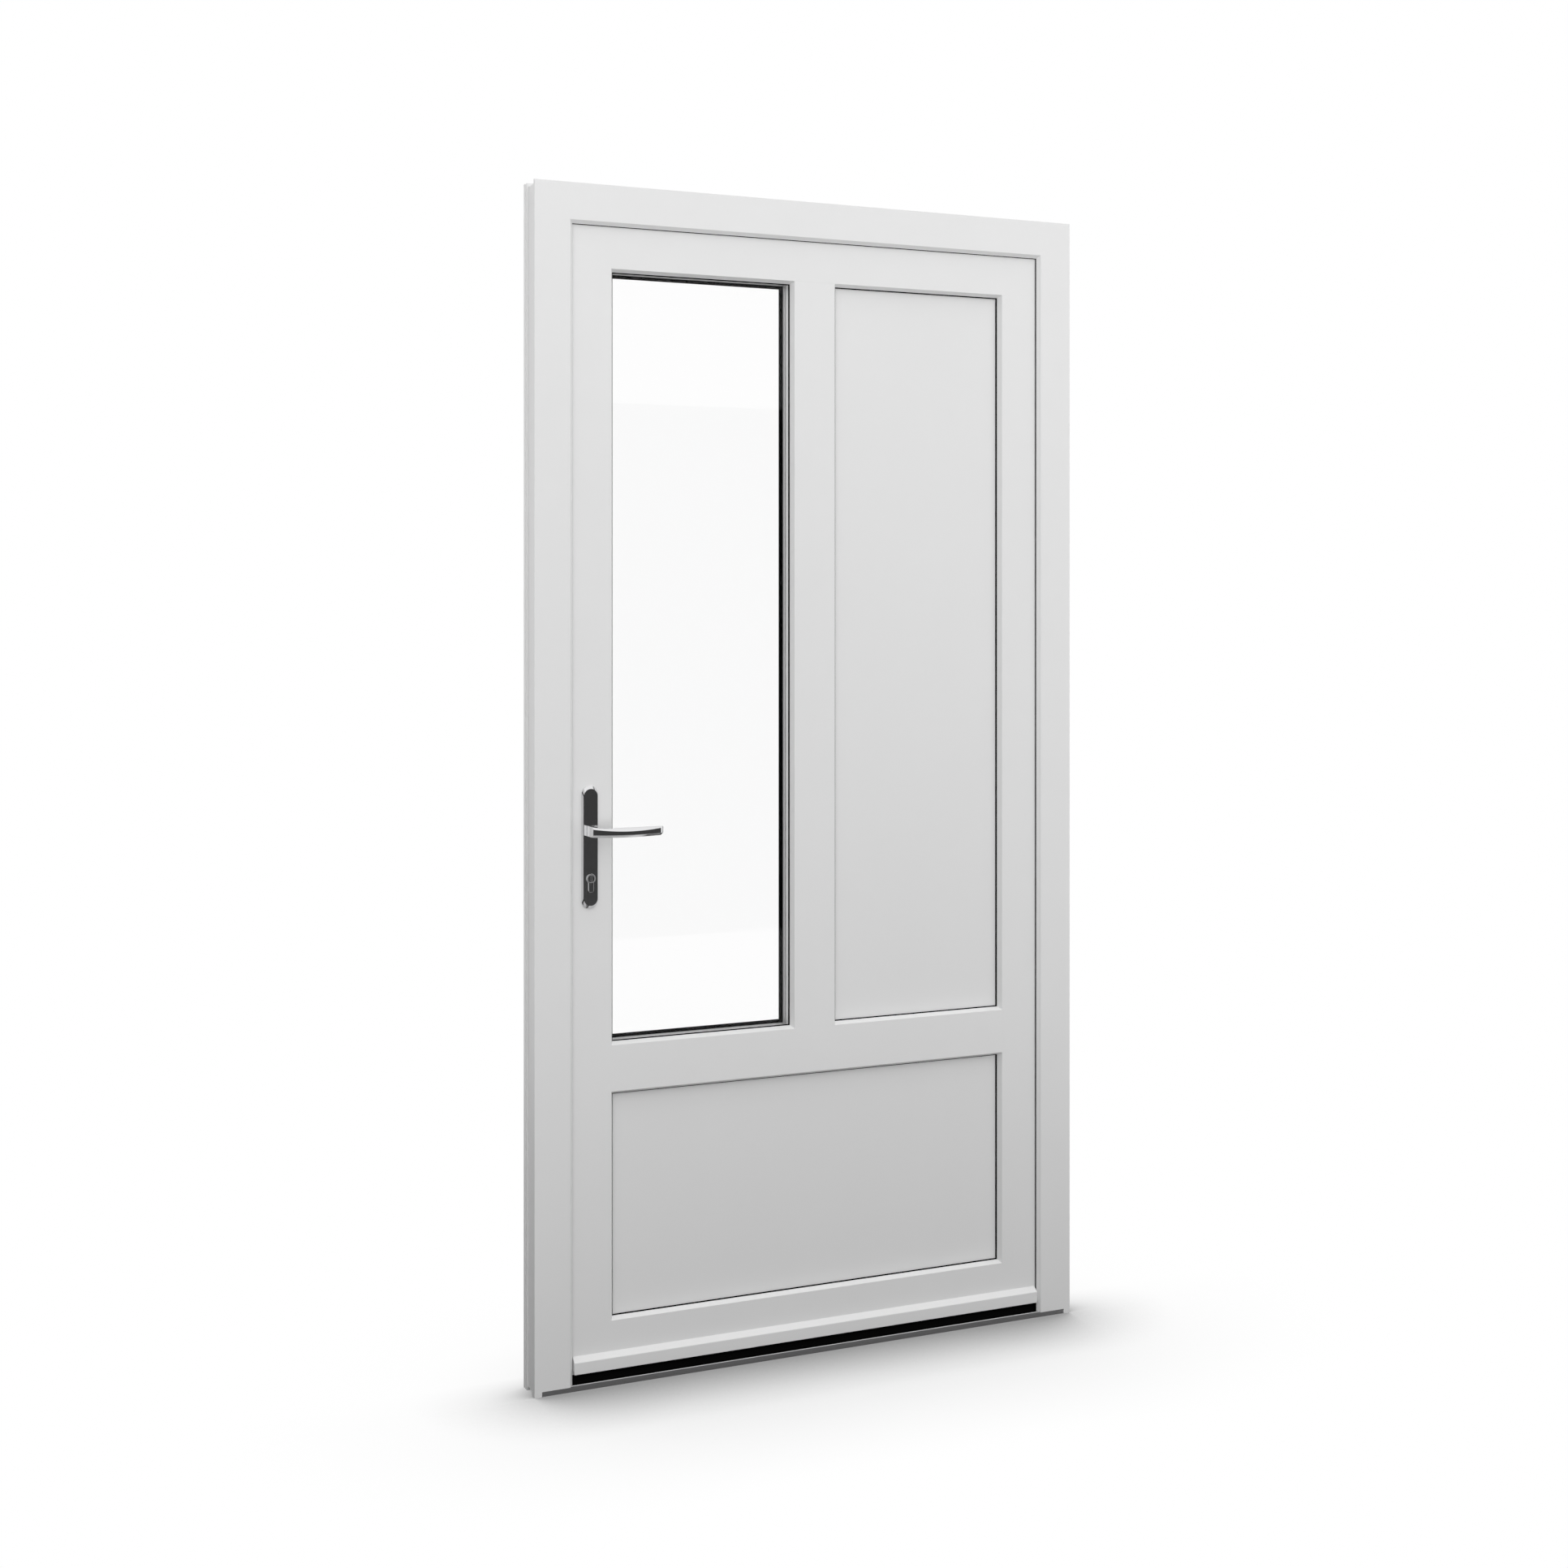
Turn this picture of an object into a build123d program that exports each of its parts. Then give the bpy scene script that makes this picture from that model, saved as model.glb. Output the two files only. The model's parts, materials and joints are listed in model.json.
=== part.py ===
"""White plastic front door in its frame: a leaf that opens inwards, with a tall light, panels and lever handles.

Millimetres. X runs along the width, and the lock is at the -X side. Y runs through the wall, from the outside
at -Y to the inside at +Y. Z is up. The origin lies under the sill, at mid width and mid depth of the frame.
Sections are drawn as (across, depth): across starts at an outer edge of the frame and depth at its front face.
"""

import os

from build123d import *

# Frame
FRAME_WIDTH = 1100.0
FRAME_HEIGHT = 2140.0
FRAME_DEPTH = 62.0
FRAME_FACE = 66.0
LIP_BEVEL = 6.0
LIP_BEVEL_DEPTH = 7.0
LIP_THICKNESS = 8.0
REBATE_ACROSS = 48.5
GROOVE_START = 14.0
GROOVE_END = 44.0
GROOVE_RECESS = 3.0
CLIP_GROOVE_START = 48.0
CLIP_GROOVE_END = 53.0
CLIP_GROOVE_RECESS = 1.5
HEAD_CHANNEL_START = 6.0
HEAD_CHANNEL_RECESS = 7.0

# Leaf
LEAF_THICKNESS = 66.0
LIP_GAP = 3.0
EDGE_GAP = 12.0
FLANGE_OVERLAP = 8.0
FLANGE_GAP = 3.0
LEAF_BOTTOM = 26.5
SASH_FACE = 86.5
BAR_FACE = 83.0
TRANSOM_CENTRE = 563.5
HARDWARE_GROOVE = 16.0
HARDWARE_GROOVE_DEPTH = 3.0

# Glazing, the same round the glass and the panels
SIGHT_BEVEL = 5.0
SIGHT_BEVEL_DEPTH = 10.0
NOSE = 2.0
POCKET = 18.0
UNIT_EDGE_GAP = 4.0
GASKET = 3.0
OUTER_GASKET_SHOWN = 1.5
INNER_GASKET_SHOWN = 5.0
PANE = 4.0
PANE_SPACE = 10.0
SPACER_SHORT_OF_NOSE = 0.5
BEAD_SLOPE = 9.0

# Seals
SEAL_CLEARANCE = 0.3
FRAME_GASKET_SHOWN = 0.8
FRAME_GASKET_WIDTH = 9.0
LEAF_SEAL_WIDTH = 6.0
BOTTOM_SEAL_BASE = 2.5
BOTTOM_SEAL_WIDTH = 20.0
BOTTOM_SEAL_FIN = 3.0
BOTTOM_SEAL_END_GAP = 2.0

# Threshold and the feet of the jambs
SILL_HEIGHT = 20.0
LIP_HEIGHT = 11.2
LIP_SETBACK = 1.5
LIP_WALL = 3.0
LIP_FOOT = 2.0
LIP_EDGE_CHAMFER = 1.0
CORE_STEP = 0.5
CORE_RAMP_START = 11.0
CORE_END = 40.0
INNER_RAIL_SLOPE = 7.0
INNER_RAIL_DROP = 6.0
FOOT_HEIGHT = 27.5
FOOT_TOE = 13.8
FOOT_NOTCH = 9.0
FOOT_RELIEF = 5.0

# Weather bar on the foot of the leaf
WEATHER_BAR_BOTTOM = 28.9
WEATHER_BAR_FRONT_TOP = 50.2
WEATHER_BAR_TOP = 59.4
WEATHER_BAR_SETBACK = 0.5
WEATHER_BAR_END_GAP = 2.0
DRIP_WALL = 3.0
DRIP_RISE = 5.0

# Handles
HANDLE_ACROSS = 105.5
HANDLE_HEIGHT = 991.0
LOCK_CENTRES = 85.0
PLATE_WIDTH = 30.6
PLATE_LENGTH = 218.8
PLATE_CENTRE_DROP = 29.5
PLATE_THICKNESS = 8.0
PLATE_RIM_DEPTH = 5.1
PLATE_RIM_SIDE = 2.4
PLATE_RIM_END = 5.5
LEVER_LENGTH_OUTSIDE = 127.0
LEVER_LENGTH_INSIDE = 76.0
LEVER_REACH = 41.0
LEVER_TIP_REACH = 42.6
LEVER_BOW = 3.2
LEVER_THICKNESS = 9.0
LEVER_TIP_RADIUS = 8.0
LEVER_NECK_RISE = 9.4
LEVER_GRIP_RISE = 6.1
LEVER_LEVEL_START = 25.0
LEVER_NECK_DROP = 9.2
LEVER_GRIP_DROP = 11.0
LEVER_TIP_DROP = 9.7
LEVER_TOP_SLOPE_RUN = 5.0
LEVER_TOP_SLOPE_FALL = 7.0
LEVER_TOP_SLOPE_START = 40.7
LEVER_UNDER_SLOPE = 4.2
NECK_WIDTH = 15.2
NECK_BEND = 12.0
NECK_GAP = 1.0
JOURNAL_RADIUS = 7.2
RUNNING_CLEARANCE = 0.05
SPINDLE = 8.0
SPINDLE_SOCKET = 12.0
SPINDLE_CLEARANCE = 0.1
SPINDLE_HOLE_RADIUS = 12.0

# Profile cylinder
CYLINDER_RADIUS = 8.5
CYLINDER_STEM = 10.0
CYLINDER_HEIGHT = 33.0
CYLINDER_PROUD = 2.0
CYLINDER_CLEARANCE = 0.3
PLUG_RADIUS = 6.8
PLUG_LENGTH = 26.0
KEYWAY_WIDTH = 1.8
KEYWAY_HEIGHT = 12.0
KEYWAY_DEPTH = 20.0

# Lock edge parts
FACEPLATE_END_GAP = 120.0
BOLT_WINDOW_WIDTH = 10.0
LATCH_HEIGHT = 18.0
DEADBOLT_HEIGHT = 34.0
BOLT_CLEARANCE = 0.3
BOLT_BODY = 14.0
KEEP_WIDTH = 22.0
KEEP_LENGTH = 240.0
KEEP_THICKNESS = 2.5
KEEP_WINDOW_MARGIN = 3.0

# Hinges
HINGE_HEIGHTS = (230.0, 1060.0, 1890.0)
HINGE_ACROSS = 28.5
HINGE_STAND_OFF = 6.0
HINGE_LENGTH = 110.0
HINGE_KNUCKLE = 44.0
HINGE_RADIUS = 9.0
HINGE_PIN_RADIUS = 4.0
HINGE_KNUCKLE_GAP = 0.3
HINGE_PLATE = 4.0
HINGE_FRAME_PLATE = (8.0, 36.0)
HINGE_LEAF_PLATE = (44.0, 80.0)
HINGE_WEB = 12.0

# Places worked out from the sizes above
FRONT = -FRAME_DEPTH / 2
LEFT = -FRAME_WIDTH / 2
LIP_END = FRAME_FACE + LIP_BEVEL
LEAF_FACE = LIP_THICKNESS + LIP_GAP
LEAF_BACK = LEAF_FACE + LEAF_THICKNESS
LEAF_EDGE = REBATE_ACROSS + EDGE_GAP
FLANGE_EDGE = REBATE_ACROSS - FLANGE_OVERLAP
FLANGE_FRONT = FRAME_DEPTH + FLANGE_GAP
SASH_FLAT_END = LEAF_EDGE + SASH_FACE
NOSE_FRONT = LEAF_FACE + SIGHT_BEVEL_DEPTH
NOSE_BACK = NOSE_FRONT + NOSE
POCKET_SHIFT = POCKET - SIGHT_BEVEL
UNIT_FRONT = NOSE_BACK + GASKET
UNIT_BACK = UNIT_FRONT + 3 * PANE + 2 * PANE_SPACE
BEAD_FRONT = UNIT_BACK + GASKET
UNIT_EDGE = UNIT_EDGE_GAP - POCKET_SHIFT
GROOVE_MIDDLE = (LEAF_FACE + FLANGE_FRONT) / 2
LOCK_X = LEFT + HANDLE_ACROSS
LOCK_HEIGHT = HANDLE_HEIGHT - LOCK_CENTRES
PLATE_HEIGHT = HANDLE_HEIGHT - PLATE_CENTRE_DROP
LEAF_FACE_Y = FRONT + LEAF_FACE
LEAF_BACK_Y = FRONT + LEAF_BACK
PLATE_FACE_Y = LEAF_FACE_Y - PLATE_THICKNESS
LEAF_MIDDLE = Plane(origin=(0, (LEAF_FACE_Y + LEAF_BACK_Y) / 2, 0), x_dir=(1, 0, 0), z_dir=(0, 1, 0))


def section(points):
    """Closed face through the points."""
    return make_face(Polyline(*points, close=True))


def upright(points, bottom, top, across=LEFT):
    """Bar that stands at the left, from its (across, depth) section."""
    plane = Plane(origin=(across, FRONT, bottom), x_dir=(1, 0, 0), z_dir=(0, 0, 1))
    return extrude(plane * section(points), amount=top - bottom)


def head_bar(points, left, right):
    """Bar that lies along the top, its section measured down from the head."""
    plane = Plane(origin=(left, FRONT, FRAME_HEIGHT), x_dir=(0, 0, -1), z_dir=(1, 0, 0))
    return extrude(plane * section(points), amount=right - left)


def floor_bar(points, left, right):
    """Bar that lies across the door, its section measured up from the floor."""
    plane = Plane(origin=(right, FRONT, 0), x_dir=(0, 0, 1), z_dir=(-1, 0, 0))
    return extrude(plane * section(points), amount=right - left)


def block(x, depth, z):
    """Box between two values of x, of depth and of z."""
    size = (x[1] - x[0], depth[1] - depth[0], z[1] - z[0])
    corner = Pos(x[0], FRONT + depth[0], z[0])
    return corner * Box(*size, align=(Align.MIN, Align.MIN, Align.MIN))


def mitre_prism(points):
    """Prism through the wall, from its (x, z) outline, that keeps one bar of a mitred frame."""
    plane = Plane(origin=(0, 0, 0), x_dir=(1, 0, 0), z_dir=(0, -1, 0))
    return extrude(plane * section(points), amount=2 * LEAF_BACK, both=True)


def to_right(shape):
    """The same piece at the other side of the door."""
    return mirror(shape, about=Plane.YZ)


def frame_section():
    """Section of jamb and head: front lip, rebate for the leaf and two grooves along the outer side."""
    return [
        (0, 0),
        (FRAME_FACE, 0),
        (LIP_END, LIP_BEVEL_DEPTH),
        (LIP_END, LIP_THICKNESS),
        (REBATE_ACROSS, LIP_THICKNESS),
        (REBATE_ACROSS, FRAME_DEPTH),
        (0, FRAME_DEPTH),
        (0, CLIP_GROOVE_END),
        (CLIP_GROOVE_RECESS, CLIP_GROOVE_END),
        (CLIP_GROOVE_RECESS, CLIP_GROOVE_START),
        (0, CLIP_GROOVE_START),
        (0, GROOVE_END),
        (GROOVE_RECESS, GROOVE_END),
        (GROOVE_RECESS, GROOVE_START),
        (0, GROOVE_START),
    ]


def head_channel():
    """Channel along the top of the head, open at both ends."""
    height = (FRAME_HEIGHT - HEAD_CHANNEL_RECESS, FRAME_HEIGHT)
    return block((LEFT, -LEFT), (HEAD_CHANNEL_START, GROOVE_END), height)


def frame_jamb():
    """Left jamb, mitred at the head and standing on its foot."""
    inner = LEFT + LIP_END
    keep = mitre_prism([(LEFT, 0), (LEFT, FRAME_HEIGHT), (inner, FRAME_HEIGHT - LIP_END), (inner, 0)])
    return (upright(frame_section(), FOOT_HEIGHT, FRAME_HEIGHT) & keep) - head_channel()


def frame_head():
    """Head, mitred at both ends."""
    inner = FRAME_HEIGHT - LIP_END
    keep = mitre_prism(
        [(LEFT, FRAME_HEIGHT), (-LEFT, FRAME_HEIGHT), (-LEFT - LIP_END, inner), (LEFT + LIP_END, inner)]
    )
    return (head_bar(frame_section(), LEFT, -LEFT) & keep) - head_channel()


def threshold_lip():
    """Low metal lip along the outside of the threshold."""
    outer = LIP_SETBACK
    wall = LIP_SETBACK + LIP_WALL
    points = [
        (0, outer),
        (LIP_HEIGHT - LIP_EDGE_CHAMFER, outer),
        (LIP_HEIGHT, outer + LIP_EDGE_CHAMFER),
        (LIP_HEIGHT, wall),
        (LIP_FOOT, wall),
        (LIP_FOOT, GROOVE_START),
        (0, GROOVE_START),
    ]
    return floor_bar(points, LEFT + FOOT_TOE, -LEFT - FOOT_TOE)


def threshold_core():
    """Dark middle of the threshold, which keeps heat from crossing it."""
    wall = LIP_SETBACK + LIP_WALL
    ledge = LIP_HEIGHT - CORE_STEP
    points = [
        (LIP_FOOT, wall),
        (ledge, wall),
        (ledge, CORE_RAMP_START),
        (SILL_HEIGHT, GROOVE_START),
        (SILL_HEIGHT, CORE_END),
        (0, CORE_END),
        (0, GROOVE_START),
        (LIP_FOOT, GROOVE_START),
    ]
    return floor_bar(points, LEFT + FOOT_TOE, -LEFT - FOOT_TOE)


def threshold_inner_rail():
    """Metal rail along the inside of the threshold, sloped to the floor."""
    points = [
        (0, CORE_END),
        (SILL_HEIGHT, CORE_END),
        (SILL_HEIGHT, FRAME_DEPTH - INNER_RAIL_SLOPE),
        (SILL_HEIGHT - INNER_RAIL_DROP, FRAME_DEPTH),
        (0, FRAME_DEPTH),
    ]
    return floor_bar(points, LEFT + FOOT_TOE, -LEFT - FOOT_TOE)


def jamb_foot():
    """Block that carries the left jamb and holds the threshold's end."""
    foot = upright(frame_section(), 0, FOOT_HEIGHT)
    foot -= block((LEFT + FOOT_TOE, LEFT + LIP_END), (0, LIP_SETBACK), (0, FOOT_NOTCH))
    foot -= block((LEFT, LEFT + FOOT_TOE), (GROOVE_START, GROOVE_END), (0, FOOT_RELIEF))
    return foot - threshold_lip() - threshold_core() - threshold_inner_rail()


def three_sided_ring(outer, inner, depth, bottom):
    """Flat strip up both sides and across the top, between two distances from the frame's edge."""
    out = block((LEFT + outer, -LEFT - outer), depth, (bottom, FRAME_HEIGHT - outer))
    hole = block((LEFT + inner, -LEFT - inner), depth, (bottom, FRAME_HEIGHT - inner))
    return out - hole


def frame_gasket():
    """Seal behind the frame's lip. Its nose slopes out from the lip's edge and shows beyond it."""
    outer = LIP_END + FRAME_GASKET_SHOWN - FRAME_GASKET_WIDTH
    depth = (LIP_THICKNESS, LEAF_FACE - SEAL_CLEARANCE)
    seal = block((LEFT + outer, -LEFT - outer), depth, (FOOT_HEIGHT, FRAME_HEIGHT - outer))
    frame = (LEFT, -LEFT, -FRAME_HEIGHT, FRAME_HEIGHT)
    nose_root = rectangle_at(frame, LIP_END, depth[0])
    nose_end = rectangle_at(frame, LIP_END + FRAME_GASKET_SHOWN, depth[1])
    return seal - loft([nose_root, nose_end])


def leaf_seal():
    """Seal on the leaf's inner flange, which closes on the frame's inside face."""
    inner = REBATE_ACROSS - SEAL_CLEARANCE
    depth = (FRAME_DEPTH + SEAL_CLEARANCE, FLANGE_FRONT)
    return three_sided_ring(inner - LEAF_SEAL_WIDTH, inner, depth, FOOT_HEIGHT)


def sash_section():
    """Section of stile and top rail: face, glazing nose, pocket, inner flange and hardware groove."""
    nose = SASH_FLAT_END + SIGHT_BEVEL
    pocket = SASH_FLAT_END - POCKET_SHIFT
    groove = LEAF_EDGE + HARDWARE_GROOVE_DEPTH
    return [
        (LEAF_EDGE, LEAF_FACE),
        (SASH_FLAT_END, LEAF_FACE),
        (nose, NOSE_FRONT),
        (nose, NOSE_BACK),
        (pocket, NOSE_BACK),
        (pocket, LEAF_BACK),
        (FLANGE_EDGE, LEAF_BACK),
        (FLANGE_EDGE, FLANGE_FRONT),
        (LEAF_EDGE, FLANGE_FRONT),
        (LEAF_EDGE, GROOVE_MIDDLE + HARDWARE_GROOVE / 2),
        (groove, GROOVE_MIDDLE + HARDWARE_GROOVE / 2),
        (groove, GROOVE_MIDDLE - HARDWARE_GROOVE / 2),
        (LEAF_EDGE, GROOVE_MIDDLE - HARDWARE_GROOVE / 2),
    ]


def plain_stile():
    """Left stile before its holes, mitred at the top and at the bottom."""
    inner = SASH_FLAT_END + SIGHT_BEVEL
    run = inner - LEAF_EDGE
    keep = mitre_prism(
        [
            (LEFT, LEAF_BOTTOM),
            (LEFT, FRAME_HEIGHT),
            (LEFT + inner, FRAME_HEIGHT - inner),
            (LEFT + inner, LEAF_BOTTOM + run),
            (LEFT + LEAF_EDGE, LEAF_BOTTOM),
        ]
    )
    return upright(sash_section(), LEAF_BOTTOM, FRAME_HEIGHT) & keep


def euro_outline(grow):
    """Outline of a profile cylinder, round head and stem, made larger by grow."""
    drop = CYLINDER_HEIGHT - CYLINDER_RADIUS - CYLINDER_STEM / 2
    stem = Pos(0, -drop / 2) * Rectangle(CYLINDER_STEM + 2 * grow, drop)
    foot = Pos(0, -drop) * Circle(CYLINDER_STEM / 2 + grow)
    return Circle(CYLINDER_RADIUS + grow) + stem + foot


def outward(x, y, z):
    """Plane that faces the outside."""
    return Plane(origin=(x, y, z), x_dir=(1, 0, 0), z_dir=(0, -1, 0))


def lock_holes():
    """Holes through the lock stile, for the spindle and for the profile cylinder."""
    spindle = outward(LOCK_X, LEAF_BACK_Y, HANDLE_HEIGHT) * Circle(SPINDLE_HOLE_RADIUS)
    cylinder = outward(LOCK_X, LEAF_BACK_Y, LOCK_HEIGHT) * euro_outline(NECK_GAP)
    return extrude(spindle, amount=LEAF_THICKNESS) + extrude(cylinder, amount=LEAF_THICKNESS)


def bolt_heights():
    """Bottom and top of the latch and of the deadbolt."""
    latch = (HANDLE_HEIGHT - LATCH_HEIGHT / 2, HANDLE_HEIGHT + LATCH_HEIGHT / 2)
    bolt = (LOCK_HEIGHT - DEADBOLT_HEIGHT / 2, LOCK_HEIGHT + DEADBOLT_HEIGHT / 2)
    return [latch, bolt]


def bolt_space(heights, grow, across):
    """Box round a bolt, at the middle of the hardware groove, between two distances across."""
    half = BOLT_WINDOW_WIDTH / 2 + grow
    x = (LEFT + across[0], LEFT + across[1])
    return block(x, (GROOVE_MIDDLE - half, GROOVE_MIDDLE + half), (heights[0] - grow, heights[1] + grow))


def stile_left():
    """Lock stile, with the holes of the handles and of the bolts."""
    stile = plain_stile() - lock_holes()
    for heights in bolt_heights():
        stile -= bolt_space(heights, BOLT_CLEARANCE, (LEAF_EDGE, LEAF_EDGE + BOLT_BODY))
    return stile


def rail_top():
    """Top rail, mitred at both ends."""
    inner = SASH_FLAT_END + SIGHT_BEVEL
    keep = mitre_prism(
        [
            (LEFT, FRAME_HEIGHT),
            (-LEFT, FRAME_HEIGHT),
            (-LEFT - inner, FRAME_HEIGHT - inner),
            (LEFT + inner, FRAME_HEIGHT - inner),
        ]
    )
    return head_bar(sash_section(), LEFT, -LEFT) & keep


def rail_bottom():
    """Bottom rail, mitred to the stiles, with a flat underside over the threshold."""
    flat = LEAF_BOTTOM + SASH_FACE
    nose = flat + SIGHT_BEVEL
    points = [
        (LEAF_BOTTOM, LEAF_FACE),
        (flat, LEAF_FACE),
        (nose, NOSE_FRONT),
        (nose, NOSE_BACK),
        (flat - POCKET_SHIFT, NOSE_BACK),
        (flat - POCKET_SHIFT, LEAF_BACK),
        (LEAF_BOTTOM, LEAF_BACK),
    ]
    edge = LEFT + LEAF_EDGE
    run = nose - LEAF_BOTTOM
    keep = mitre_prism([(edge, LEAF_BOTTOM), (edge + run, nose), (-edge - run, nose), (-edge, LEAF_BOTTOM)])
    return floor_bar(points, edge, -edge) & keep


def bar_section(centre):
    """Section of transom and mullion, with a glazing nose and a pocket on each side."""
    half = BAR_FACE / 2
    nose = half + SIGHT_BEVEL
    web = half - POCKET_SHIFT
    one_side = [(half, LEAF_FACE), (nose, NOSE_FRONT), (nose, NOSE_BACK), (web, NOSE_BACK), (web, LEAF_BACK)]
    other_side = [(-across, depth) for across, depth in reversed(one_side)]
    return [(centre + across, depth) for across, depth in one_side + other_side]


def transom(stiles):
    """Transom, coped over the noses of the stiles."""
    pocket = LEFT + SASH_FLAT_END - POCKET_SHIFT
    bar = floor_bar(bar_section(TRANSOM_CENTRE), pocket, -pocket)
    for stile in stiles:
        bar -= stile
    return bar


def mullion(crossbar, rail):
    """Mullion between the transom and the top rail, coped over the noses of both."""
    bottom = TRANSOM_CENTRE + BAR_FACE / 2 - POCKET_SHIFT
    top = FRAME_HEIGHT - SASH_FLAT_END + POCKET_SHIFT
    return upright(bar_section(0), bottom, top, across=0) - crossbar - rail


def openings():
    """Flat edges of the light and of the panels: left, right, bottom and top of each."""
    side = LEFT + SASH_FLAT_END
    middle = BAR_FACE / 2
    floor = LEAF_BOTTOM + SASH_FACE
    sill = TRANSOM_CENTRE + BAR_FACE / 2
    top = FRAME_HEIGHT - SASH_FLAT_END
    return {
        "light": (side, -middle, sill, top),
        "panel_upper": (middle, -side, sill, top),
        "panel_lower": (side, -side, floor, TRANSOM_CENTRE - BAR_FACE / 2),
    }


def sheet(opening, inset, depth):
    """Flat sheet over an opening, inset from its flat edges."""
    left, right, bottom, top = opening
    return block((left + inset, right - inset), depth, (bottom + inset, top - inset))


def sheet_ring(opening, outer, inner, depth):
    """Flat ring round an opening, between two insets from its flat edges."""
    return sheet(opening, outer, depth) - sheet(opening, inner, depth)


def gasket_outer(opening):
    """Seal between the glazing nose and the outer pane."""
    return sheet_ring(opening, UNIT_EDGE, SIGHT_BEVEL + OUTER_GASKET_SHOWN, (NOSE_BACK, UNIT_FRONT))


def gasket_inner(opening):
    """Seal between the inner pane and the bead."""
    return sheet_ring(opening, UNIT_EDGE, SIGHT_BEVEL + INNER_GASKET_SHOWN, (UNIT_BACK, BEAD_FRONT))


def rectangle_at(opening, inset, depth):
    """Upright rectangle over an opening, at one depth."""
    left, right, bottom, top = opening
    plane = Plane(
        origin=((left + right) / 2, FRONT + depth, (bottom + top) / 2), x_dir=(1, 0, 0), z_dir=(0, -1, 0)
    )
    return plane * Rectangle(right - left - 2 * inset, top - bottom - 2 * inset)


def bead(opening):
    """Glazing bead, a ring in the pocket whose visible face slopes away from the pane."""
    front = SIGHT_BEVEL + INNER_GASKET_SHOWN
    hole = loft([rectangle_at(opening, front, BEAD_FRONT), rectangle_at(opening, front - BEAD_SLOPE, LEAF_BACK)])
    return sheet(opening, -POCKET_SHIFT, (BEAD_FRONT, LEAF_BACK)) - hole


def pane(opening, index):
    """One pane of the sealed unit, counted from the outside."""
    front = UNIT_FRONT + index * (PANE + PANE_SPACE)
    return sheet(opening, UNIT_EDGE, (front, front + PANE))


def spacer(opening, index):
    """Spacer ring between two panes, counted from the outside."""
    front = UNIT_FRONT + PANE + index * (PANE + PANE_SPACE)
    return sheet_ring(opening, UNIT_EDGE, SIGHT_BEVEL - SPACER_SHORT_OF_NOSE, (front, front + PANE_SPACE))


def weather_bar():
    """Bar that throws rain clear of the threshold, with a sloped top and a drip edge below."""
    points = [
        (WEATHER_BAR_BOTTOM, WEATHER_BAR_SETBACK),
        (WEATHER_BAR_FRONT_TOP, WEATHER_BAR_SETBACK),
        (WEATHER_BAR_TOP, LEAF_FACE),
        (WEATHER_BAR_BOTTOM + DRIP_RISE, LEAF_FACE),
        (WEATHER_BAR_BOTTOM + DRIP_RISE, WEATHER_BAR_SETBACK + DRIP_WALL),
        (WEATHER_BAR_BOTTOM, WEATHER_BAR_SETBACK + DRIP_WALL),
    ]
    end = LEFT + LIP_END + WEATHER_BAR_END_GAP
    return floor_bar(points, end, -end)


def bottom_seal():
    """Seal under the leaf, a base with fins that close on the threshold."""
    end = LEFT + LEAF_EDGE + BOTTOM_SEAL_END_GAP
    front = (GROOVE_START + CORE_END - BOTTOM_SEAL_WIDTH) / 2
    base = LEAF_BOTTOM - BOTTOM_SEAL_BASE
    seal = block((end, -end), (front, front + BOTTOM_SEAL_WIDTH), (base, LEAF_BOTTOM))
    for start in (front, front + BOTTOM_SEAL_WIDTH - BOTTOM_SEAL_FIN):
        seal += block((end, -end), (start, start + BOTTOM_SEAL_FIN), (SILL_HEIGHT + SEAL_CLEARANCE, base))
    return seal


def handle_plate_outside():
    """Long handle plate with round ends and a sloped rim, bored for the lever and the cylinder."""
    back = outward(LOCK_X, LEAF_FACE_Y, PLATE_HEIGHT)
    rim = outward(LOCK_X, PLATE_FACE_Y + PLATE_RIM_DEPTH, PLATE_HEIGHT)
    face = outward(LOCK_X, PLATE_FACE_Y, PLATE_HEIGHT)
    outline = SlotOverall(PLATE_LENGTH, PLATE_WIDTH, rotation=90)
    face_outline = SlotOverall(PLATE_LENGTH - 2 * PLATE_RIM_END, PLATE_WIDTH - 2 * PLATE_RIM_SIDE, rotation=90)
    plate = extrude(back * outline, amount=PLATE_THICKNESS - PLATE_RIM_DEPTH)
    plate += loft([rim * outline, face * face_outline])
    bore = outward(LOCK_X, LEAF_FACE_Y, HANDLE_HEIGHT) * Circle(JOURNAL_RADIUS + RUNNING_CLEARANCE)
    slot = outward(LOCK_X, LEAF_FACE_Y, LOCK_HEIGHT) * euro_outline(CYLINDER_CLEARANCE)
    return plate - extrude(bore, amount=PLATE_THICKNESS) - extrude(slot, amount=PLATE_THICKNESS)


def lever_plan(length):
    """Outline of the lever seen from above: (along the grip, out from the leaf)."""
    half = NECK_WIDTH / 2
    root = PLATE_THICKNESS + NECK_GAP
    corner = (-half, LEVER_REACH)
    bend_end = (length - LEVER_TIP_RADIUS, LEVER_TIP_REACH)
    middle = ((corner[0] + bend_end[0]) / 2, (LEVER_REACH + LEVER_TIP_REACH) / 2 + LEVER_BOW)
    tip = (length, LEVER_TIP_REACH - LEVER_TIP_RADIUS)
    tip_inner = (length, LEVER_TIP_REACH - LEVER_THICKNESS)
    crook_end = (half + NECK_BEND, LEVER_TIP_REACH - LEVER_THICKNESS)
    crook_start = (half, crook_end[1] - NECK_BEND)
    return [
        Line((-half, root), corner),
        ThreePointArc(corner, middle, bend_end),
        TangentArc(bend_end, tip, tangent=(1, 0)),
        Line(tip, tip_inner),
        Line(tip_inner, crook_end),
        TangentArc(crook_start, crook_end, tangent=(0, 1)),
        Line(crook_start, (half, root)),
        Line((half, root), (-half, root)),
    ]


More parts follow.
